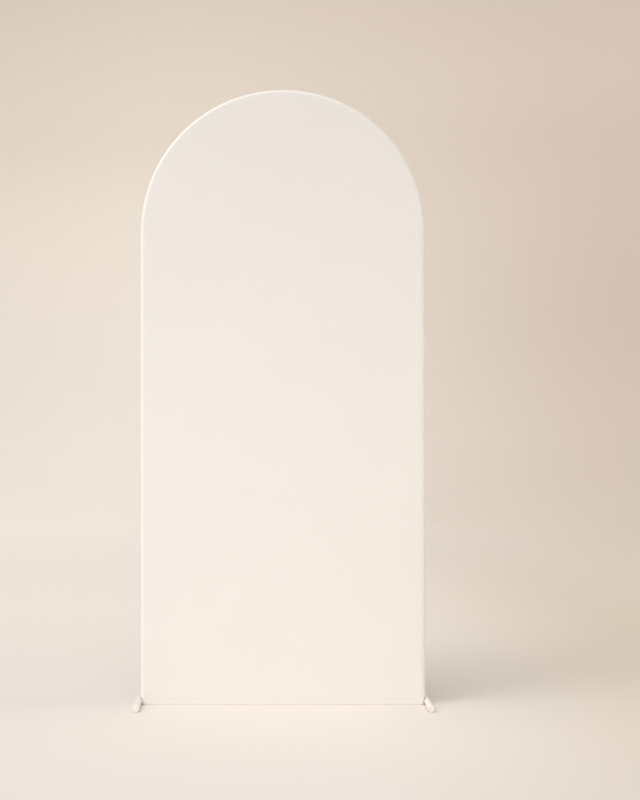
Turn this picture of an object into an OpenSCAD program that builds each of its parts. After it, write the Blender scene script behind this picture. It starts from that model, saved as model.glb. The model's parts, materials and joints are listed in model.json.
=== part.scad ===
// Free-standing backdrop arch: a knock-down frame of round tube under a sewn cloth cover.
// The origin is on the floor, midway between the feet and midway through the thickness.
// X runs along the width, Y from front (negative) to back, Z up. Lengths are in millimetres.

/* [Arch] */
// Width over the cloth cover
arch_w = 1000; // [800:10:1200]
// Height from the floor to the crown of the cover
arch_h = 2160; // [1900:10:2400]

/* [Frame tube] */
// Outside diameter of the uprights and the bent tubes
tube_d = 25; // [24:0.5:30]
// Wall of the uprights and the bent tubes
tube_wall = 1.2; // [1:0.1:1.6]
// Straight tail at the lower end of each bent tube
tail_l = 80; // [70:5:120]

/* [Joiners] */
// Length of the joiner inside two tubes that meet
joiner_l = 110; // [90:5:130]
// Wall of a joiner
joiner_wall = 1.5; // [1.2:0.1:2]
// Gap all round between a joiner and the tube over it
joiner_gap = 0.15; // [0.1:0.05:0.3]
// Diameter of the snap button that locks a joint
button_d = 6; // [5:0.5:7]
// How far the snap button stands out of the tube
button_rise = 2; // [1.5:0.5:3]
// Diameter of the rivet that holds a joiner in the lower tube
rivet_d = 4; // [3.2:0.2:4.8]
// Gap all round a button or a rivet in its hole
pin_gap = 0.1; // [0.05:0.05:0.2]

/* [Crossbars] */
// Outside diameter of a crossbar
crossbar_d = 19; // [16:0.5:20]
// Wall of a crossbar
crossbar_wall = 1; // [0.8:0.1:1.2]
// Height of the lowest crossbar
low_bar_z = 75; // [65:5:150]
// Drop from a joiner's lower end to the crossbar under it
bar_drop = 32; // [28:2:60]
// Length of the flattened end of a crossbar
tongue_l = 30; // [26:1:40]
// Length of the change from round to flat
flare_l = 24; // [18:1:36]
// Gap between a crossbar's end and the upright
tongue_gap = 4; // [3:0.5:6]
// Thickness of the bracket welded to the upright
bracket_t = 3; // [2:0.5:4]
// Height of the bracket
bracket_h = 22; // [18:1:28]
// Reach of the bracket from the upright to its screw hole
bracket_reach = 18; // [16:1:22]
// Diameter of the crossbar screw
screw_d = 6; // [5:1:6]
// Gap all round a screw in its hole
screw_gap = 0.3; // [0.2:0.1:0.4]

/* [Feet] */
// Length of a foot over its end caps
foot_l = 320; // [280:10:400]
// Outside diameter of the foot bar
foot_d = 22; // [20:0.5:25]
// Wall of the foot bar
foot_wall = 1.5; // [1.2:0.1:2]
// Height of the spigot that an upright drops over
spigot_top = 150; // [110:5:180]
// Height of the collar that an upright stands on
collar_h = 4; // [3:0.5:6]
// Length of the taper at the top of the spigot
lead_l = 6; // [4:1:10]
// How far the foot bar's side is let into the spigot where they are welded
weld_bite = 2.5; // [2:0.1:4]
// Wall of a foot's end cap
cap_wall = 1.5; // [1:0.25:3]
// Length of an end cap
cap_l = 30; // [24:1:40]
// Thickness of an end cap's closed end
cap_face = 4; // [3:0.5:6]
// Round on an end cap's outer edge
cap_round = 4; // [2:0.5:5]
// Depth of the flat that an end cap rests on
cap_flat = 0.5; // [0.3:0.1:1]

/* [Cover] */
// Thickness of the cloth
cloth_t = 0.8; // [0.6:0.1:1.2]
// Gap between the cloth and the tubes that it is stretched over
cloth_gap = 0.3; // [0.2:0.1:0.5]
// Height of the cover's lower edge above the floor
hem_z = 0.3; // [0.2:0.1:5]
// Height of the turned-up hem
hem_h = 18; // [12:1:20]
// Gap between the foot bar and the edges of the cut-out for it in the cover
band_gap = 1; // [0.5:0.5:4]

/* [Hidden] */
$fn = 64;
ease = 1;

tube_r = tube_d / 2;
bore_r = tube_r - tube_wall;
joiner_r = bore_r - joiner_gap;
foot_r = foot_d / 2;
crossbar_r = crossbar_d / 2;

cover_in = tube_r + cloth_gap;
cover_out = cover_in + cloth_t;
tube_x = arch_w / 2 - cover_out;
bend_r = tube_x;
spring_z = arch_h - arch_w / 2;

cap_r = foot_r + cap_wall;
foot_z = cap_r - cap_flat;
foot_x = tube_x + joiner_r + foot_r - weld_bite;
foot_top = foot_z + foot_r;
collar_z = foot_top + 0.5;
spigot_z = 3;
lead_in = joiner_wall * 2 / 3;
upright_z = collar_z + collar_h;
band_z = foot_top + band_gap;
notch_x = foot_x - foot_r - band_gap;

tail_z = spring_z - tail_l;
mid_joint_z = (upright_z + tail_z) / 2;
hole_step = joiner_l / 4;
hole_turn = arc_angle(hole_step);

mid_bar_z = mid_joint_z - joiner_l / 2 - bar_drop;
top_bar_z = tail_z - joiner_l / 2 - bar_drop;
bar_half = tube_x - tube_r - tongue_gap;
tongue_t = 2 * crossbar_wall;
tongue_w = PI * (crossbar_d - crossbar_wall) / 2 + crossbar_wall;
screw_x = tube_x - tube_r - bracket_reach;
hole_r = screw_d / 2 + screw_gap;
nut_h = 0.8 * screw_d;
nut_r = 0.96 * screw_d;
head_r = 0.875 * screw_d;
head_h = 0.5 * screw_d;

flange_r = button_d / 2 + 1.2;
flange_t = 1;
flange_top = sqrt(pow(joiner_r - joiner_wall, 2) - pow(flange_r, 2)) - 0.05;
leaf_t = 0.8;
leaf_w = button_d;
leaf_l = 26;
rivet_head_r = rivet_d;
rivet_head_h = 1;

// Angle at the arch's centre for a length measured along the bent tube
function arc_angle(length) = length / bend_r * 180 / PI;

// The right side is modelled, and the left side mirrors it
module side(name) {
    mirror([name == "left" ? 1 : 0, 0, 0])
        children();
}

module on_both_sides() {
    for (name = ["left", "right"])
        side(name)
            children();
}

// Moves a shape drawn at the spring line's right end round the arch by an angle
module round_the_arch(angle) {
    translate([0, 0, spring_z])
        rotate([0, -angle, 0])
            translate([bend_r, 0, 0])
                children();
}

// A radial hole or pin at the origin that points to the inside of the arch
module inward() {
    rotate([0, -90, 0])
        children();
}

module tube(radius, wall, length) {
    difference() {
        cylinder(r = radius, h = length);
        translate([0, 0, -ease])
            cylinder(r = radius - wall, h = length + 2 * ease);
    }
}

module arc_bar(radius, angle) {
    rotate([90, 0, 0])
        rotate_extrude(angle = angle)
            translate([bend_r, 0])
                circle(r = radius);
}

// Frame tubes

module upright(low_z, high_z, low_hole_r, high_hole_r) {
    difference() {
        translate([tube_x, 0, low_z])
            tube(tube_r, tube_wall, high_z - low_z);
        if (low_hole_r > 0)
            translate([tube_x, 0, low_z + hole_step])
                inward()
                    cylinder(r = low_hole_r, h = tube_r + ease);
        if (high_hole_r > 0)
            translate([tube_x, 0, high_z - hole_step])
                inward()
                    cylinder(r = high_hole_r, h = tube_r + ease);
    }
}

module lower_upright() {
    color("white")
        upright(upright_z, mid_joint_z, 0, rivet_d / 2 + pin_gap);
}

module upper_upright() {
    color("white")
        upright(mid_joint_z, tail_z, button_d / 2 + pin_gap, rivet_d / 2 + pin_gap);
}

// The lower bent tube has a straight tail, and ends half way up the arch's side
module bent_tube_low() {
    color("white")
        difference() {
            union() {
                translate([0, 0, spring_z])
                    arc_bar(tube_r, 45);
                translate([tube_x, 0, tail_z])
                    cylinder(r = tube_r, h = tail_l);
            }
            translate([0, 0, spring_z])
                arc_bar(bore_r, 46);
            translate([tube_x, 0, tail_z - ease])
                cylinder(r = bore_r, h = tail_l + ease);
            translate([tube_x, 0, tail_z + hole_step])
                inward()
                    cylinder(r = button_d / 2 + pin_gap, h = tube_r + ease);
            round_the_arch(45 - hole_turn)
                inward()
                    cylinder(r = rivet_d / 2 + pin_gap, h = tube_r + ease);
        }
}

// The upper bent tube runs from there to the crown
module bent_tube_top(apex_hole_r) {
    color("white")
        difference() {
            translate([0, 0, spring_z])
                rotate([0, -45, 0])
                    arc_bar(tube_r, 45);
            translate([0, 0, spring_z])
                rotate([0, -44, 0])
                    arc_bar(bore_r, 47);
            round_the_arch(45 + hole_turn)
                inward()
                    cylinder(r = button_d / 2 + pin_gap, h = tube_r + ease);
            round_the_arch(90 - hole_turn)
                inward()
                    cylinder(r = apex_hole_r, h = tube_r + ease);
        }
}

// Joiners, snap buttons and rivets

module joiner(joint_z) {
    color("silver")
        difference() {
            translate([tube_x, 0, joint_z - joiner_l / 2])
                tube(joiner_r, joiner_wall, joiner_l);
            translate([tube_x, 0, joint_z + hole_step])
                inward()
                    cylinder(r = button_d / 2 + pin_gap, h = tube_r);
            translate([tube_x, 0, joint_z - hole_step])
                inward()
                    cylinder(r = rivet_d / 2 + pin_gap, h = tube_r);
        }
}

// A bent joiner. Its button is towards the crown, or on the right where it is at the crown
module bent_joiner(joint_turn, button_turn, rivet_turn) {
    half = arc_angle(joiner_l / 2);
    color("silver")
        difference() {
            translate([0, 0, spring_z])
                rotate([0, half - joint_turn, 0])
                    arc_bar(joiner_r, 2 * half);
            translate([0, 0, spring_z])
                rotate([0, half + 1 - joint_turn, 0])
                    arc_bar(joiner_r - joiner_wall, 2 * half + 2);
            round_the_arch(button_turn)
                inward()
                    cylinder(r = button_d / 2 + pin_gap, h = tube_r);
            round_the_arch(rivet_turn)
                inward()
                    cylinder(r = rivet_d / 2 + pin_gap, h = tube_r);
        }
}

// The leaf is a strip bent double, with its bend towards the joiner's middle
module snap_leaf() {
    leg_top = flange_top - flange_t;
    leg_low = -(joiner_r - joiner_wall) * 0.8;
    bend = (leg_top - leg_low) / 2;
    rotate([90, 0, 0])
        linear_extrude(leaf_w, center = true) {
            translate([leg_top - leaf_t, -leaf_l / 2])
                square([leaf_t, leaf_l]);
            translate([leg_low, -leaf_l / 2])
                square([leaf_t, leaf_l]);
            translate([leg_low + bend, -leaf_l / 2])
                difference() {
                    circle(r = bend);
                    circle(r = bend - leaf_t);
                    translate([-bend - ease, 0])
                        square([2 * (bend + ease), bend + ease]);
                }
        }
}

// A button stands on the leaf inside the joiner and comes out through both walls
module snap_button() {
    dome = button_d / 2;
    shank_top = tube_r + button_rise - dome;
    inward() {
        translate([0, 0, flange_top - flange_t])
            cylinder(r = flange_r, h = flange_t);
        translate([0, 0, flange_top])
            cylinder(r = dome, h = shank_top - flange_top);
        translate([0, 0, shank_top])
            rotate_extrude()
                intersection() {
                    circle(r = dome);
                    square(dome);
                }
    }
    mirror([1, 0, 0])
        snap_leaf();
}

module snap_buttons() {
    color("silver") {
        on_both_sides() {
            translate([tube_x, 0, mid_joint_z + hole_step])
                snap_button();
            translate([tube_x, 0, tail_z + hole_step])
                snap_button();
            round_the_arch(45 + hole_turn)
                snap_button();
        }
        round_the_arch(90 - hole_turn)
            mirror([0, 0, 1])
                snap_button();
    }
}

module rivet() {
    grip = tube_r - (joiner_r - joiner_wall);
    inward() {
        translate([0, 0, tube_r - grip])
            cylinder(r = rivet_d / 2, h = grip + rivet_head_h / 2);
        translate([0, 0, tube_r])
            cylinder(r1 = rivet_head_r, r2 = rivet_head_r / 2, h = rivet_head_h);
        translate([0, 0, tube_r - grip - rivet_head_h])
            cylinder(r = rivet_head_r * 0.7, h = rivet_head_h);
    }
}

module joiner_rivets() {
    color("silver") {
        on_both_sides() {
            translate([tube_x, 0, mid_joint_z - hole_step])
                rivet();
            translate([tube_x, 0, tail_z - hole_step])
                rivet();
            round_the_arch(45 - hole_turn)
                rivet();
        }
        round_the_arch(90 + hole_turn)
            rivet();
    }
}

// Crossbars

module tongue_outline() {
    intersection() {
        translate([bar_half - tongue_l, -tongue_w / 2])
            square([tongue_l, tongue_w]);
        translate([bar_half - tongue_w, 0])
            circle(r = tongue_w);
    }
}

module flare(radius, flat_t, flat_w, lip) {
    hull() {
        translate([bar_half - tongue_l - flare_l - lip, -tongue_t / 2, 0])
            rotate([0, 90, 0])
                cylinder(r = radius, h = 0.5, $fn = 32);
        translate([bar_half - tongue_l, -(tongue_t + flat_t) / 2, -flat_w / 2])
            cube([0.5, flat_t, flat_w]);
    }
}

module crossbar(bar_z) {
    round_half = bar_half - tongue_l - flare_l;
    color("white")
        translate([0, 0, bar_z]) {
            translate([-round_half, -tongue_t / 2, 0])
                rotate([0, 90, 0])
                    tube(crossbar_r, crossbar_wall, 2 * round_half);
            on_both_sides() {
                difference() {
                    flare(crossbar_r, tongue_t, tongue_w, 0);
                    flare(crossbar_r - crossbar_wall, 0.1, tongue_w - tongue_t, ease);
                }
                difference() {
                    rotate([90, 0, 0])
                        linear_extrude(tongue_t)
                            tongue_outline();
                    translate([screw_x, ease, 0])
                        rotate([90, 0, 0])
                            cylinder(r = hole_r, h = tongue_t + 2 * ease);
                }
            }
        }
}

module bracket(bar_z) {
    color("white")
        difference() {
            translate([0, bracket_t, bar_z])
                rotate([90, 0, 0])
                    linear_extrude(bracket_t) {
                        translate([screw_x, -bracket_h / 2])
                            square([tube_x - screw_x, bracket_h]);
                        translate([screw_x, 0])
                            circle(d = bracket_h);
                    }
            translate([tube_x, 0, bar_z - bracket_h])
                cylinder(r = tube_r, h = 2 * bracket_h);
            translate([screw_x, bracket_t + ease, bar_z])
                rotate([90, 0, 0])
                    cylinder(r = hole_r, h = bracket_t + 2 * ease);
        }
}

module screw() {
    socket_r = 0.38 * screw_d;
    shank_l = tongue_t + bracket_t + nut_h + 1.5;
    rotate([90, 0, 0]) {
        translate([0, 0, tongue_t - shank_l])
            cylinder(r = screw_d / 2, h = shank_l + head_h / 4);
        difference() {
            translate([0, 0, tongue_t])
                cylinder(r1 = head_r, r2 = 0.6 * head_r, h = head_h);
            translate([0, 0, tongue_t + head_h / 2])
                cylinder(r = socket_r, h = head_h, $fn = 6);
        }
    }
}

module at_each_bracket() {
    for (bar_z = [low_bar_z, mid_bar_z, top_bar_z])
        on_both_sides()
            translate([screw_x, 0, bar_z])
                children();
}

module screws() {
    color("silver")
        at_each_bracket()
            screw();
}

module nuts() {
    color("silver")
        at_each_bracket()
            translate([0, bracket_t + nut_h, 0])
                rotate([90, 0, 0])
                    difference() {
                        cylinder(r = nut_r, h = nut_h, $fn = 6);
                        translate([0, 0, -ease])
                            cylinder(r = screw_d / 2 + pin_gap, h = nut_h + 2 * ease);
                    }
}

// Feet

module foot_solid(radius, length) {
    translate([foot_x, length / 2, foot_z])
        rotate([90, 0, 0])
            cylinder(r = radius, h = length);
}

module foot_bar() {
    bar_l = foot_l - 2 * cap_face;
    color("white")
        difference() {
            foot_solid(foot_r, bar_l);
            foot_solid(foot_r - foot_wall, bar_l + 2 * ease);
        }
}

// The spigot's side is coped round the foot bar that it is welded to
module foot_spigot() {
    color("white")
        difference() {
            union() {
                translate([tube_x, 0, spigot_z])
                    cylinder(r = joiner_r, h = spigot_top - lead_l - spigot_z);
                translate([tube_x, 0, spigot_top - lead_l])
                    cylinder(r1 = joiner_r, r2 = joiner_r - lead_in, h = lead_l);
                translate([tube_x, 0, collar_z])
                    cylinder(r = tube_r, h = collar_h);
            }
            translate([tube_x, 0, spigot_z - ease])
                cylinder(r = joiner_r - joiner_wall, h = spigot_top);
            foot_solid(foot_r, 3 * foot_d);
        }
}

module cap_profile() {
    difference() {
        union() {
            square([cap_r, cap_l - cap_round]);
            square([cap_r - cap_round, cap_l]);
            translate([cap_r - cap_round, cap_l - cap_round])
                circle(r = cap_round);
        }
        translate([-ease, -ease])
            square([foot_r + pin_gap + ease, cap_l - cap_face + ease]);
        translate([-cap_r, 0])
            square([cap_r, cap_l + ease]);
    }
}

// The front cap, and the back one by mirroring
module foot_cap(end) {
    color("white")
        mirror([0, end == "back" ? 1 : 0, 0])
            difference() {
                translate([foot_x, cap_l - foot_l / 2, foot_z])
                    rotate([90, 0, 0])
                        rotate_extrude()
                            cap_profile();
                translate([foot_x - cap_r, -foot_l / 2 - ease, -cap_r])
                    cube([2 * cap_r, cap_l + 2 * ease, cap_r]);
            }
}

// Cover

module sheet_outline() {
    translate([-tube_x, hem_z])
        square([2 * tube_x, spring_z - hem_z]);
    intersection() {
        translate([0, spring_z])
            circle(r = bend_r, $fn = 180);
        translate([-bend_r, spring_z])
            square([2 * bend_r, bend_r]);
    }
}

module cover_front() {
    color("linen")
        translate([0, -cover_in, 0])
            rotate([90, 0, 0])
                linear_extrude(cloth_t)
                    sheet_outline();
}

module band_profile() {
    difference() {
        circle(r = cover_out);
        circle(r = cover_in);
        translate([-cover_out - ease, -cover_out - ease])
            square([cover_out + ease, 2 * (cover_out + ease)]);
    }
}

// The band is cut out round the foot bar, and reaches the floor in front of it and behind it
module cover_band() {
    color("linen")
        difference() {
            translate([tube_x, 0, hem_z])
                linear_extrude(spring_z - hem_z)
                    band_profile();
            translate([notch_x, -cover_out - ease, 0])
                cube([2 * cover_out, 2 * (cover_out + ease), band_z]);
        }
}

module cover_band_arch() {
    color("linen")
        translate([0, 0, spring_z])
            rotate([90, 0, 0])
                rotate_extrude(angle = 180)
                    translate([bend_r, 0])
                        band_profile();
}

// The hem is the sheet's lower edge, turned up inside
module hem_front() {
    color("linen")
        translate([-tube_x, -cover_in, hem_z])
            cube([2 * tube_x, cloth_t, hem_h]);
}

module behind() {
    mirror([0, 1, 0])
        children();
}

cover_front();
behind() cover_front();  // cover_back
side("left") cover_band();  // cover_band_left
cover_band_arch();
side("right") cover_band();  // cover_band_right
hem_front();
behind() hem_front();  // hem_back
side("left") foot_bar();  // foot_bar_left
side("right") foot_bar();  // foot_bar_right
side("left") foot_spigot();  // foot_spigot_left
side("right") foot_spigot();  // foot_spigot_right
side("left") foot_cap("front");  // foot_cap_left_front
side("left") foot_cap("back");  // foot_cap_left_back
side("right") foot_cap("front");  // foot_cap_right_front
side("right") foot_cap("back");  // foot_cap_right_back
side("left") lower_upright();  // upright_lower_left
side("right") lower_upright();  // upright_lower_right
side("left") upper_upright();  // upright_upper_left
side("right") upper_upright();  // upright_upper_right
side("left") bent_tube_low();  // bent_tube_low_left
side("right") bent_tube_low();  // bent_tube_low_right
side("left") bent_tube_top(rivet_d / 2 + pin_gap);  // bent_tube_top_left
side("right") bent_tube_top(button_d / 2 + pin_gap);  // bent_tube_top_right
side("left") joiner(mid_joint_z);  // joiner_mid_left
side("right") joiner(mid_joint_z);  // joiner_mid_right
side("left") joiner(tail_z);  // joiner_top_left
side("right") joiner(tail_z);  // joiner_top_right
side("left") bent_joiner(45, 45 + hole_turn, 45 - hole_turn);  // joiner_arch_left
side("right") bent_joiner(45, 45 + hole_turn, 45 - hole_turn);  // joiner_arch_right
bent_joiner(90, 90 - hole_turn, 90 + hole_turn);  // joiner_apex
snap_buttons();
joiner_rivets();
crossbar(low_bar_z);  // crossbar_low
crossbar(mid_bar_z);  // crossbar_mid
crossbar(top_bar_z);  // crossbar_top
side("left") bracket(low_bar_z);  // bracket_low_left
side("right") bracket(low_bar_z);  // bracket_low_right
side("left") bracket(mid_bar_z);  // bracket_mid_left
side("right") bracket(mid_bar_z);  // bracket_mid_right
side("left") bracket(top_bar_z);  // bracket_top_left
side("right") bracket(top_bar_z);  // bracket_top_right
screws();
nuts();
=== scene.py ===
# %% [markdown]
# # A backdrop arch under a stretch cover
#
# The object is a free-standing photo backdrop: a knock-down frame of round steel tube with a half-round
# top, under a two-sided cover of smooth stretch cloth. Two round bars across the ends are its feet.
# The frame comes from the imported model, in metres, and keeps its shape here. The cloth is modelled
# again, because a plain solid can't show its seams, hems and knit.

# %% Load the frame
import json
import math
import bmesh
import bpy
from mathutils import Matrix, Vector, noise


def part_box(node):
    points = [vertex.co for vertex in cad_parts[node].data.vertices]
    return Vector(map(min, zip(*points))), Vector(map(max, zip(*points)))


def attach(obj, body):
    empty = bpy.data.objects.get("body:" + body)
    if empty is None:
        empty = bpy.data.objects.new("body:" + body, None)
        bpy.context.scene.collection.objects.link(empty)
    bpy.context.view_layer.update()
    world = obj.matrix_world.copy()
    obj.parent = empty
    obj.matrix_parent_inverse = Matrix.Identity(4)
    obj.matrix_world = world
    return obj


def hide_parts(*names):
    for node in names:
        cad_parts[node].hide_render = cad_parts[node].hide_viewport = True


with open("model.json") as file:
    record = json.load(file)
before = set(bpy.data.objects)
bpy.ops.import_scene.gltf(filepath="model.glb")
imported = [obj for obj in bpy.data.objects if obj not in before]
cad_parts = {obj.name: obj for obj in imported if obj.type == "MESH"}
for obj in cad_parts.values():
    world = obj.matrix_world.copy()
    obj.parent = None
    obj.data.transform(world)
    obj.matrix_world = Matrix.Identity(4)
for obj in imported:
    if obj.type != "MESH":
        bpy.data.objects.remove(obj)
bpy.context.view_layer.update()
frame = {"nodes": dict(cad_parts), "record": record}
nodes = frame["nodes"]

# %% [markdown]
# ## Sizes
#
# The cloth has to lie where the frame's plain cover lies, so its sizes are read from those nodes. Each
# cloth is drawn along the middle of its thickness, and the Solidify modifier gives it two sides.

# %% Sizes of the cover
MM = 0.001
sheet_low, sheet_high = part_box("cover_front")
arch_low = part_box("cover_band_arch")[0]
hem_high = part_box("hem_front")[1]
foot_low, foot_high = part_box("foot_bar_right")
cloth_t = sheet_high.y - sheet_low.y
tube_x = sheet_high.x
spring_z = arch_low.z
hem_z = sheet_low.z
hem_top = hem_high.z
cut_gap = 1.0 * MM
cut_x = foot_low.x - cut_gap
cut_z = foot_high.z + cut_gap
skin = -(sheet_low.y + sheet_high.y) / 2
print("cloth", round(cloth_t / MM, 2), "mm thick; tube axis at", round(tube_x, 4), "m")
print("spring line at", round(spring_z, 4), "m")

# %% [markdown]
# ## Camera
#
# The arch's sides are parallel in the photograph, so the camera looks level. Its height comes from the
# horizon, its place a little to the left of the arch's middle from the way the two feet splay, and its
# distance from how far they reach below the cover's edge. The lens then gives the right size, and a
# small shift puts the arch left of the picture's middle without turning the camera. Two places across
# the photograph, in pixels, set both: where lines that run straight back meet, and the arch's middle.

# %% Camera
PICTURE_W = 640
PICTURE_H = 800
vanishing_x = 262
arch_x = 283.04
camera_distance = 5.9
eye_height = 1.07
view_height = 2.814
pixel = view_height / PICTURE_H
camera = bpy.data.objects.new("camera", bpy.data.cameras.new("camera"))
bpy.context.scene.collection.objects.link(camera)
bpy.context.scene.camera = camera
camera.location = ((vanishing_x - arch_x) * pixel, -camera_distance, eye_height)
camera.rotation_euler = (math.radians(90), 0, 0)
camera.data.sensor_fit = "AUTO"
camera.data.sensor_width = 36
camera.data.lens = camera.data.sensor_width * camera_distance / view_height
camera.data.shift_x = (PICTURE_W / 2 - vanishing_x) / PICTURE_H
print("lens", round(camera.data.lens, 1), "mm")

# %% [markdown]
# ## A small kit for finishes
#
# Every finish is a node tree that starts from the same Principled shader. These helpers add a node,
# set its sockets and link it, so that a finish reads as a short list of what it is made of.

# %% Finish helpers
def start_finish(name, colour, roughness, metallic=0.0):
    finish = bpy.data.materials.new(name)
    finish.use_nodes = True
    tree = finish.node_tree
    shader = tree.nodes["Principled BSDF"]
    shader.inputs["Base Color"].default_value = (*colour, 1)
    shader.inputs["Roughness"].default_value = roughness
    shader.inputs["Metallic"].default_value = metallic
    finish.diffuse_color = (*colour, 1)
    return finish, tree, shader


def add(tree, kind, settings=None, **sockets):
    node = tree.nodes.new(kind)
    for key, value in (settings or {}).items():
        setattr(node, key, value)
    for key, value in sockets.items():
        node.inputs[key.replace("_", " ")].default_value = value
    return node


def link(tree, start, end):
    tree.links.new(start, end)


def bumped(tree, shader, height, distance, strength=1.0):
    bump = add(tree, "ShaderNodeBump", Distance=distance, Strength=strength)
    link(tree, height, bump.inputs["Height"])
    link(tree, bump.outputs["Normal"], shader.inputs["Normal"])


# %% [markdown]
# ## Stretch knit
#
# The cover is a smooth, heavy stretch knit. From afar it is plain cream; close up it has fine upright
# ribs about a millimetre apart, each a column of small loops. The pattern runs on the piece's own UV
# map, laid out in metres along the cloth, so it follows the cloth round the edge. A fine noise adds
# fuzz, and a very large and faint one keeps the wide flat face from looking printed.

# %% Stretch knit
RIB = 1.1 * MM
LOOP = 0.8 * MM


def ripples(tree, uv, direction, pitch, **sockets):
    """Bands across the cloth at an even pitch: the Wave texture has 20 radians to its scale of one."""
    settings = {"bands_direction": direction, "wave_profile": "SIN"}
    wave = add(tree, "ShaderNodeTexWave", settings, Scale=math.tau / (20 * pitch), **sockets)
    link(tree, uv.outputs["UV"], wave.inputs["Vector"])
    return wave.outputs["Fac"]


def add_scaled(tree, value, share, base):
    """The base with a share of a value on top."""
    total = add(tree, "ShaderNodeMath", {"operation": "MULTIPLY_ADD"})
    total.inputs[1].default_value = share
    link(tree, value, total.inputs[0])
    link(tree, base, total.inputs[2])
    return total.outputs["Value"]


def make_knit(name, colour):
    finish, tree, shader = start_finish(name, colour, 0.86)
    shader.inputs["Sheen Weight"].default_value = 0.2
    shader.inputs["Sheen Roughness"].default_value = 0.4
    shader.inputs["Specular IOR Level"].default_value = 0.25
    uv = add(tree, "ShaderNodeUVMap", {"uv_map": "cloth"})
    ribs = ripples(tree, uv, "X", RIB)
    loops = ripples(tree, uv, "Y", LOOP, Distortion=1.5)
    fuzz = add(tree, "ShaderNodeTexNoise", Scale=900.0, Detail=3.0)
    link(tree, uv.outputs["UV"], fuzz.inputs["Vector"])
    rows = add_scaled(tree, loops, 0.45, ribs)
    height = add_scaled(tree, fuzz.outputs["Fac"], 0.6, rows)
    bumped(tree, shader, height, 0.06 * MM)
    cloud = add(tree, "ShaderNodeTexNoise", Scale=3.0, Detail=2.0)
    link(tree, uv.outputs["UV"], cloud.inputs["Vector"])
    tone = add(tree, "ShaderNodeMix", {"data_type": "RGBA"})
    darker = tuple(0.965 * c for c in colour)
    tone.inputs[6].default_value = (*darker, 1)
    tone.inputs[7].default_value = (*colour, 1)
    link(tree, cloud.outputs["Fac"], tone.inputs[0])
    link(tree, tone.outputs[2], shader.inputs["Base Color"])
    return finish


knit = make_knit("cream_stretch_knit", (0.865, 0.82, 0.77))

# %% [markdown]
# ## Powder coat, plastic and zinc
#
# The tubes have a semi-gloss powder coat with a faint orange-peel skin. The feet's end caps are a fine
# matt plastic in the same cream. Joiners, snap buttons, rivets, screws and nuts are zinc-plated steel,
# whose brushed grain shows as small changes in roughness.

# %% Powder coat, plastic and zinc
def make_powder_coat(name, colour):
    finish, tree, shader = start_finish(name, colour, 0.42)
    place = add(tree, "ShaderNodeTexCoord")
    peel = add(tree, "ShaderNodeTexNoise", Scale=420.0, Detail=2.0)
    link(tree, place.outputs["Object"], peel.inputs["Vector"])
    bumped(tree, shader, peel.outputs["Fac"], 0.12 * MM, 0.6)
    rub = add(tree, "ShaderNodeTexNoise", Scale=35.0, Detail=4.0)
    link(tree, place.outputs["Object"], rub.inputs["Vector"])
    span = add(tree, "ShaderNodeMapRange", To_Min=0.36, To_Max=0.52)
    link(tree, rub.outputs["Fac"], span.inputs["Value"])
    link(tree, span.outputs["Result"], shader.inputs["Roughness"])
    return finish


def make_cap_plastic(name, colour):
    finish, tree, shader = start_finish(name, colour, 0.6)
    place = add(tree, "ShaderNodeTexCoord")
    grain = add(tree, "ShaderNodeTexNoise", Scale=1600.0, Detail=2.0)
    link(tree, place.outputs["Object"], grain.inputs["Vector"])
    bumped(tree, shader, grain.outputs["Fac"], 0.08 * MM)
    return finish


def make_zinc(name, colour):
    finish, tree, shader = start_finish(name, colour, 0.38, 1.0)
    place = add(tree, "ShaderNodeTexCoord")
    brushed = add(tree, "ShaderNodeTexNoise", Scale=260.0, Detail=3.0)
    link(tree, place.outputs["Object"], brushed.inputs["Vector"])
    span = add(tree, "ShaderNodeMapRange", To_Min=0.28, To_Max=0.5)
    link(tree, brushed.outputs["Fac"], span.inputs["Value"])
    link(tree, span.outputs["Result"], shader.inputs["Roughness"])
    return finish


powder_coat = make_powder_coat("cream_powder_coat", (0.84, 0.79, 0.73))
cap_plastic = make_cap_plastic("cream_cap_plastic", (0.83, 0.78, 0.72))
zinc = make_zinc("zinc_plate", (0.62, 0.62, 0.6))

# %% [markdown]
# ## Dressing the frame
#
# The tubes, brackets, feet and fasteners already have their true shape, so they only take a finish.

# %% Finishes on the frame
FINISHES = {
    "painted_tube": powder_coat,
    "cap_plastic": cap_plastic,
    "bare_steel": zinc,
    "cover_cloth": knit,
}
for entry in frame["record"]["subparts"]:
    node = nodes[entry["node"]]
    node.data.materials.clear()
    node.data.materials.append(FINISHES[entry["material_slot"]])

# %% [markdown]
# ## Helpers for cloth
#
# A piece of cloth is grown from one row of points, as a tailor's roller lays out cloth: the row is
# spun round the arch and extruded down the sides. Three helpers do this. The others turn the faces
# outwards, lay out the UV map, make the mesh a piece and give it its thickness.

# %% Cloth helpers
def row_of(bm, points):
    """A chain of edges through the points, grown by extruding the last one."""
    tip = bmesh.ops.create_vert(bm, co=points[0])["vert"][0]
    for point in points[1:]:
        tip = bmesh.ops.extrude_vert_indiv(bm, verts=[tip])["verts"][0]
        tip.co = point


def extrude_row(bm, edges, offset):
    grown = bmesh.ops.extrude_edge_only(bm, edges=edges)["geom"]
    moved = [item for item in grown if isinstance(item, bmesh.types.BMVert)]
    bmesh.ops.translate(bm, verts=moved, vec=offset)
    return [item for item in grown if isinstance(item, bmesh.types.BMEdge)]


def spin_row(bm, edges, centre, axis, angle, steps):
    verts = list({vert for edge in edges for vert in edge.verts})
    made = bmesh.ops.spin(bm, geom=verts + edges, cent=centre, axis=axis, angle=angle, steps=steps)
    return [item for item in made["geom_last"] if isinstance(item, bmesh.types.BMEdge)]


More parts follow.
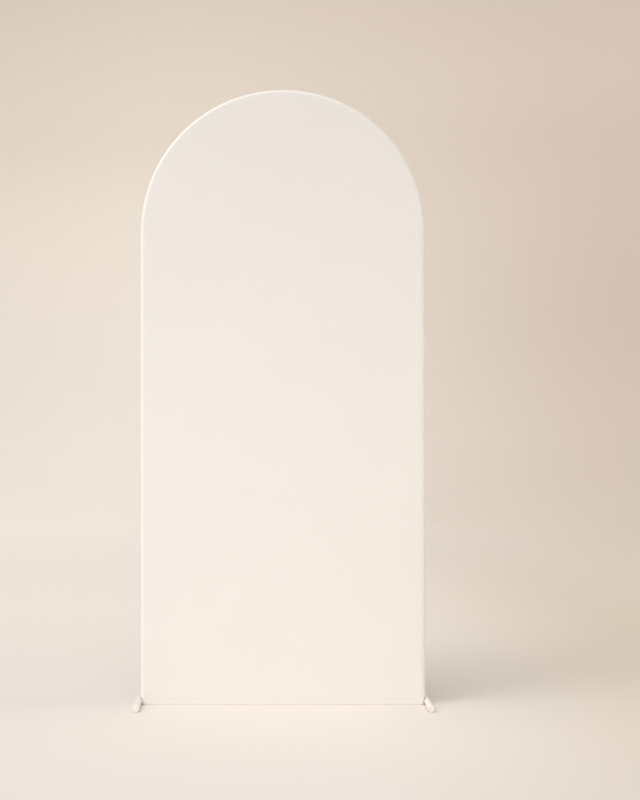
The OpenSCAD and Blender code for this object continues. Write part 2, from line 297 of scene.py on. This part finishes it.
def face_outwards(bm, outwards):
    """Points every face the way that outwards(centre of a face) points."""
    bmesh.ops.recalc_face_normals(bm, faces=bm.faces)
    leanings = [face.normal.dot(outwards(face.calc_center_median())) for face in bm.faces]
    votes = sum(1 if leaning > 0 else -1 for leaning in leanings)
    if votes < 0:
        bmesh.ops.reverse_faces(bm, faces=bm.faces)


def lay_uv(bm, place):
    layer = bm.loops.layers.uv.new("cloth")
    for face in bm.faces:
        for corner in face.loops:
            corner[layer].uv = place(corner.vert.co)


def finished(name, bm, finish, replaced=()):
    mesh = bpy.data.meshes.new(name)
    bm.to_mesh(mesh)
    bm.free()
    mesh.shade_smooth()
    mesh.materials.append(finish)
    piece = bpy.data.objects.new(name, mesh)
    bpy.context.scene.collection.objects.link(piece)
    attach(piece, "root")
    if replaced:
        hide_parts(*replaced)
    print(name, len(mesh.polygons), "faces")
    return piece


def thicken(piece, thickness):
    wall = piece.modifiers.new("cloth", "SOLIDIFY")
    wall.thickness = thickness
    wall.offset = 0
    return piece


# %% [markdown]
# ## The two faces
#
# Each face is one panel of knit, flat between the tubes. Its edge dips by a few tenths of a millimetre
# into the seam, with a faint puff beside it. At the bottom it is turned up inside and held by two rows
# of stitching, which press two faint lines into it. The panel's top is a half disc, spun from a row of
# points, and its lower part is the same row extruded down. The turn of the hem is spun too. A slow wave
# runs over the outer layer.

# %% Front and back cloth
NEAR = 0.01 * MM
ARCH_STEPS = 128
SEAM_DIP = 0.45 * MM
SEAM_ROLL = 1.6 * MM
PUFF_RISE = 0.12 * MM
PUFF_AT = 3.2 * MM
PUFF_REACH = 2.4 * MM
WAVE_RISE = 0.6 * MM
WAVE_FADE = 120 * MM
HEM_STIFF = 30 * MM
STITCH_DIP = 0.14 * MM
STITCH_SIDE = 0.9 * MM
STITCH_ROWS = (hem_top - 1.5 * MM, hem_top - 4.8 * MM)
TURN = 0.5 * MM
OUTER_LAYER = 0.6 * MM
fold_z = hem_z + TURN + cloth_t / 2


def seam_profile(gap):
    """How far the cloth dips at a distance from the seam: a soft roll down into the needle line."""
    near = max(0.0, 1 - gap / SEAM_ROLL)
    puff = max(0.0, 1 - abs(gap - PUFF_AT) / PUFF_REACH)
    return SEAM_DIP * near * near - PUFF_RISE * puff


def tension(x, z):
    """A slow wave of a few tenths of a millimetre, which fades towards the tubes and the hem."""
    edge = tube_x - math.hypot(x, z - spring_z)
    if z < spring_z:
        edge = min(tube_x - abs(x), z - HEM_STIFF)
    fade = min(1.0, max(0.0, edge / WAVE_FADE))
    wide = noise.noise(Vector((2.1 * x, 0.4, 1.5 * z)))
    small = noise.noise(Vector((5.2 * x, 3.1, 3.6 * z)))
    return WAVE_RISE * fade * (wide + 0.4 * small)


def hem_levels():
    """The rows from above the hem down to its fold: the height of each, and how far it is pressed in."""
    levels = [(hem_top + 12 * MM, 0.0)]
    for stitch_z in STITCH_ROWS:
        levels += [(stitch_z + STITCH_SIDE, 0.0), (stitch_z, STITCH_DIP), (stitch_z - STITCH_SIDE, 0.0)]
    return levels + [(fold_z + 7 * MM, 0.0), (fold_z + 3 * MM, 0.0), (fold_z, 0.0)]


def make_face(name, side, replaced):
    bm = bmesh.new()
    across = 24
    even = [tube_x * step / across for step in range(across)]
    close = [tube_x - gap * MM for gap in (9.0, 5.6, 3.2, 1.6, 0.8, 0.3, 0.0)]
    row_of(bm, [(x, side * (skin - seam_profile(tube_x - x)), spring_z) for x in even + close])
    spin_row(bm, list(bm.edges), (0, 0, spring_z), (0, -1, 0), math.pi, ARCH_STEPS)
    bmesh.ops.remove_doubles(bm, verts=bm.verts, dist=NEAR)
    row = [edge for edge in bm.edges if all(abs(vert.co.z - spring_z) < NEAR for vert in edge.verts)]
    level = hem_top + 18 * MM
    drops = 64
    for _ in range(drops):
        row = extrude_row(bm, row, (0, 0, (level - spring_z) / drops))
    dip = 0.0
    for next_level, next_dip in hem_levels():
        row = extrude_row(bm, row, (0, -side * (next_dip - dip), next_level - level))
        level, dip = next_level, next_dip
    row = spin_row(bm, row, (0, side * (skin - TURN), fold_z), (side, 0, 0), -math.pi, 6)
    extrude_row(bm, row, (0, 0, hem_top - fold_z))
    outer = [vert for vert in bm.verts if abs(vert.co.y) > skin - OUTER_LAYER]
    for vert in outer:
        vert.co.y += side * tension(vert.co.x, vert.co.z)
    face_outwards(bm, lambda centre: Vector((0, side, 0)))
    lay_uv(bm, lambda co: (co.x, co.z))
    piece = finished(name, bm, knit, replaced)
    return thicken(piece, cloth_t)


front_cloth = make_face("front_cloth", -1, ["cover_front", "hem_front"])
back_cloth = make_face("back_cloth", 1, ["cover_back", "hem_back"])

# %% [markdown]
# ## The edge band
#
# One long strip joins the two faces and wraps half round the tube, from one foot over the crown to
# the other. Each end is cut out round the foot bar, and reaches the floor in front of it and behind it.
# Its section is spun round the tube's axis, then carried up, round the arch and down, and the strips
# beside each foot bar grow from the ends of the section alone. The cut edge is overlocked, so it
# stands up a little as a soft bead.

# %% Edge band
BEAD = 0.3 * MM
CUT_EDGE = 1.2 * MM
cut_turn = math.acos((cut_x - tube_x) / skin)
cut_arc = skin * (math.pi / 2 - cut_turn)


def beside_foot(row):
    return [edge for edge in row if all(abs(vert.co.x) < cut_x + NEAR for vert in edge.verts)]


def on_cut_edge(co):
    if co.z > cut_z - NEAR:
        return co.z < cut_z + NEAR and abs(co.x) > cut_x - NEAR
    return abs(abs(co.x) - cut_x) < 0.05 * MM


def make_band(name, replaced):
    bm = bmesh.new()
    half = skin * math.pi / 2
    arcs = [0.0, 0.3 * MM, 0.8 * MM, 1.6 * MM, 3.2 * MM, 5.0 * MM, cut_arc - CUT_EDGE]
    rounds = 6
    arcs += [cut_arc + (half - cut_arc) * step / rounds for step in range(rounds + 1)]
    arcs += [2 * half - arc for arc in reversed(arcs[:-1])]
    points = []
    for arc in arcs:
        angle = arc / skin - math.pi / 2
        radius = skin - seam_profile(min(arc, 2 * half - arc))
        points.append((tube_x + radius * math.cos(angle), radius * math.sin(angle), cut_z))
    row_of(bm, points)
    first = list(bm.edges)
    row = extrude_row(bm, first, (0, 0, CUT_EDGE))
    rises = 60
    rise = (spring_z - cut_z - CUT_EDGE) / rises
    for _ in range(rises):
        row = extrude_row(bm, row, (0, 0, rise))
    row = spin_row(bm, row, (0, 0, spring_z), (0, -1, 0), math.pi, ARCH_STEPS)
    for _ in range(rises):
        row = extrude_row(bm, row, (0, 0, -rise))
    last = extrude_row(bm, row, (0, 0, -CUT_EDGE))
    for end in (first, last):
        strips = beside_foot(end)
        drops = 4
        for _ in range(drops):
            strips = extrude_row(bm, strips, (0, 0, (hem_z - cut_z) / drops))
    bmesh.ops.remove_doubles(bm, verts=bm.verts, dist=NEAR)
    for vert in bm.verts:
        if on_cut_edge(vert.co):
            axis = Vector((math.copysign(tube_x, vert.co.x), 0, vert.co.z))
            vert.co += (vert.co - axis).normalized() * BEAD

    def outwards(centre):
        if centre.z > spring_z:
            return Vector((centre.x, 0, centre.z - spring_z))
        return Vector((centre.x, 0, 0))

    def place(co):
        if co.z > spring_z + 0.001 * MM:
            turn = math.atan2(co.z - spring_z, co.x)
            across = math.atan2(co.y, math.hypot(co.x, co.z - spring_z) - tube_x)
            return (skin * across, spring_z + tube_x * turn)
        across = math.atan2(co.y, abs(co.x) - tube_x)
        along = co.z if co.x > 0 else 2 * spring_z + math.pi * tube_x - co.z
        return (skin * across, along)

    face_outwards(bm, outwards)
    lay_uv(bm, place)
    piece = finished(name, bm, knit, replaced)
    return thicken(piece, cloth_t)


edge_band = make_band("edge_band", ["cover_band_left", "cover_band_arch", "cover_band_right"])

# %% [markdown]
# ## Hem stitches
#
# The hems are sewn with a twin needle: two rows of small stitches. One group of four stitches, two on
# the front cloth and two on the back, is repeated along the hem with an Array modifier.

# %% Hem stitches
STITCH = 3.2 * MM
STITCH_RADII = (1.25 * MM, 0.22 * MM, 0.3 * MM)
STITCH_SUNK = 0.12 * MM
HEM_END = 4 * MM
stitch_count = int(2 * (tube_x - HEM_END) / STITCH)
first_x = STITCH / 2 - stitch_count * STITCH / 2
stitch_y = skin + cloth_t / 2 - STITCH_SUNK
shape = Matrix.Diagonal((*STITCH_RADII, 1))
bm = bmesh.new()
for side in (-1, 1):
    for stitch_z in STITCH_ROWS:
        middle = Matrix.Translation((first_x, side * stitch_y, stitch_z))
        bmesh.ops.create_uvsphere(bm, u_segments=6, v_segments=4, radius=1, matrix=middle @ shape)
thread = start_finish("cream_thread", (0.85, 0.79, 0.73), 0.6)[0]
hem_stitches = finished("hem_stitches", bm, thread)
repeat = hem_stitches.modifiers.new("along the hem", "ARRAY")
repeat.use_relative_offset = False
repeat.use_constant_offset = True
repeat.constant_offset_displace = (STITCH, 0, 0)
repeat.count = stitch_count
print("stitches in a row", stitch_count)

# %% [markdown]

# %% [markdown]
# ## Studio
#
# The photograph has a seamless warm background. Here the floor is the flat bottom of a wide round bowl,
# whose side curves up far behind the camera, so that the arch has the same plain background from every
# side. The paper's colour has light and shade painted into it. It is painted lighter at the left and
# darker and warmer at the right, darker in the cove and at the wall's top, and a little lighter just
# behind the arch's left side, against its shade. Its tone changes softly from the floor to the cove, the
# wall and the wall's top, so its colour is mixed from its place. The tones are given, and each pair of
# places says where on an axis one tone changes to the next, in metres. The bowl isn't part of the
# object.

# %% Sweep
FLOOR_R = 9.0
COVE = 4.0
WALL_TOP = 6.2


def blend_along(tree, axis_value, reach, first, second):
    """A colour that changes softly from the first to the second over a reach of an axis."""
    settings = {"interpolation_type": "SMOOTHSTEP"}
    span = add(tree, "ShaderNodeMapRange", settings, From_Min=reach[0], From_Max=reach[1])
    link(tree, axis_value, span.inputs["Value"])
    tone = add(tree, "ShaderNodeMix", {"data_type": "RGBA"})
    link(tree, span.outputs["Result"], tone.inputs[0])
    for socket, colour in ((tone.inputs[6], first), (tone.inputs[7], second)):
        if isinstance(colour, tuple):
            socket.default_value = (*colour, 1)
        else:
            link(tree, colour, socket)
    return tone.outputs[2]


# Painted light and shade: each left tone is lighter and each right tone darker and warmer, as the light
# falls from the left. The cove and the wall's top are painted darker, and the middle floor's left tone
# lighter against the arch's shade.
PAPER_PAINTED_LIGHT_AND_SHADE = {
    "near": ((0.826, 0.746, 0.67), (0.70, 0.60, 0.485)),
    "middle": ((0.89, 0.795, 0.705), (0.70, 0.60, 0.485)),
    "far": ((0.868, 0.778, 0.698), (0.60, 0.512, 0.427)),
    "cove": ((0.79, 0.714, 0.64), (0.54, 0.452, 0.378)),
    "wall": ((0.893, 0.812, 0.716), (0.705, 0.607, 0.52)),
    "top": ((0.84, 0.735, 0.655), (0.69, 0.592, 0.508)),
}
NEAR_TO_MIDDLE = (0.0, 3.0)
FAR_TO_COVE = (8.0, 10.6)
COVE_TO_WALL = ((0.8, 3.4), (1.5, 5.0))
WALL_TO_TOP = (4.2, 6.0)
FLOOR_TO_BEHIND = (2.0, 7.0)
FLOOR_ACROSS = (0.1, 1.8)
BEHIND_ACROSS = (-1.8, 4.5)


def make_paper_painted_light_and_shade(name, tones):
    """Paper with a left and a right tone for each stretch of floor, cove, wall and wall's top, painted
    lighter at the left and darker at the right as light and shade.
    """
    finish, tree, shader = start_finish(name, tones["near"][0], 0.9)
    shader.inputs["Specular IOR Level"].default_value = 0.1
    place = add(tree, "ShaderNodeTexCoord")
    parts = add(tree, "ShaderNodeSeparateXYZ")
    link(tree, place.outputs["Object"], parts.inputs["Vector"])
    across, depth, height = (parts.outputs[axis] for axis in "XYZ")
    near_sides = []
    far_sides = []
    for side, cove_to_wall in enumerate(COVE_TO_WALL):
        tone = blend_along(tree, depth, NEAR_TO_MIDDLE, tones["near"][side], tones["middle"][side])
        near_sides.append(tone)
        tone = blend_along(tree, depth, FAR_TO_COVE, tones["far"][side], tones["cove"][side])
        tone = blend_along(tree, height, cove_to_wall, tone, tones["wall"][side])
        far_sides.append(blend_along(tree, height, WALL_TO_TOP, tone, tones["top"][side]))
    floor = blend_along(tree, across, FLOOR_ACROSS, *near_sides)
    behind = blend_along(tree, across, BEHIND_ACROSS, *far_sides)
    paper = blend_along(tree, depth, FLOOR_TO_BEHIND, floor, behind)
    link(tree, paper, shader.inputs["Base Color"])
    return finish


bm = bmesh.new()
cove_steps = 24
turns = [math.pi / 2 * step / cove_steps for step in range(cove_steps + 1)]
curve = [(FLOOR_R + COVE * math.sin(turn), 0.0, COVE - COVE * math.cos(turn)) for turn in turns]
row_of(bm, [(0.0, 0.0, 0.0), (3.0, 0.0, 0.0)] + curve + [(FLOOR_R + COVE, 0.0, WALL_TOP)])
ring = list(bm.verts) + list(bm.edges)
bmesh.ops.spin(bm, geom=ring, cent=(0, 0, 0), axis=(0, 0, 1), angle=math.tau, steps=96, use_merge=True)
bmesh.ops.remove_doubles(bm, verts=bm.verts, dist=1.0 * MM)
bmesh.ops.recalc_face_normals(bm, faces=bm.faces)
mesh = bpy.data.meshes.new("sweep")
bm.to_mesh(mesh)
bm.free()
mesh.shade_smooth()
mesh.materials.append(make_paper_painted_light_and_shade("paper_painted_light_and_shade", PAPER_PAINTED_LIGHT_AND_SHADE))
sweep = bpy.data.objects.new("sweep", mesh)
bpy.context.scene.collection.objects.link(sweep)

# %% [markdown]
# ## Light
#
# The light is plain and soft, and just bright enough for a colour to look as it is written. Three suns
# with wide discs stand for soft boxes far away, so they light the arch the same all over: one overhead,
# a key from the left that leaves the soft shadow on the floor, and a fill from the front left. Three
# lamps with a narrow spread do the rest. One from the far right lights the band's right edge, and two
# from the left and the front make the cloth a little brighter at the left and towards the floor, as in
# the photograph. The light is slightly cool, because what the warm paper throws back is warm, and the
# two together are neutral.

# %% Light
DAYLIGHT = (0.94, 0.97, 1.0)


def add_light(name, place, target, width, height, power, spread):
    lamp = bpy.data.lights.new(name, "AREA")
    lamp.shape = "RECTANGLE"
    lamp.size = width
    lamp.size_y = height
    lamp.spread = math.radians(spread)
    lamp.energy = power
    lamp.color = DAYLIGHT
    holder = bpy.data.objects.new(name, lamp)
    bpy.context.scene.collection.objects.link(holder)
    holder.location = place
    holder.visible_camera = False
    holder.rotation_euler = (Vector(target) - Vector(place)).to_track_quat("-Z", "Y").to_euler()


def add_sun(name, direction, energy, angle):
    lamp = bpy.data.lights.new(name, "SUN")
    lamp.energy = energy
    lamp.angle = math.radians(angle)
    lamp.color = DAYLIGHT
    holder = bpy.data.objects.new(name, lamp)
    bpy.context.scene.collection.objects.link(holder)
    holder.rotation_euler = Vector(direction).to_track_quat("-Z", "Y").to_euler()


add_sun("overhead", (0.10, 0.20, -0.97), 1.15, 60)
add_sun("key", (0.70, 0.40, -0.59), 1.06, 45)
add_sun("fill", (0.22, 0.77, -0.57), 0.76, 60)
add_light("far_edge", (6.5, -0.7, 1.25), (0, 0, 1.1), 1.0, 1.4, 7, 50)
add_light("low_front", (-0.7, -4.4, 0.7), (0, 0, 0.3), 2.2, 0.5, 3, 60)
add_light("window", (-4.2, -3.4, 1.5), (0, 0.2, 1.7), 2.4, 1.4, 8.5, 70)
world = bpy.data.worlds.new("studio")
world.use_nodes = True
sky = world.node_tree.nodes["Background"]
sky.inputs["Color"].default_value = (*DAYLIGHT, 1)
sky.inputs["Strength"].default_value = 0.32
bpy.context.scene.world = world
bpy.context.scene.view_settings.view_transform = "Standard"
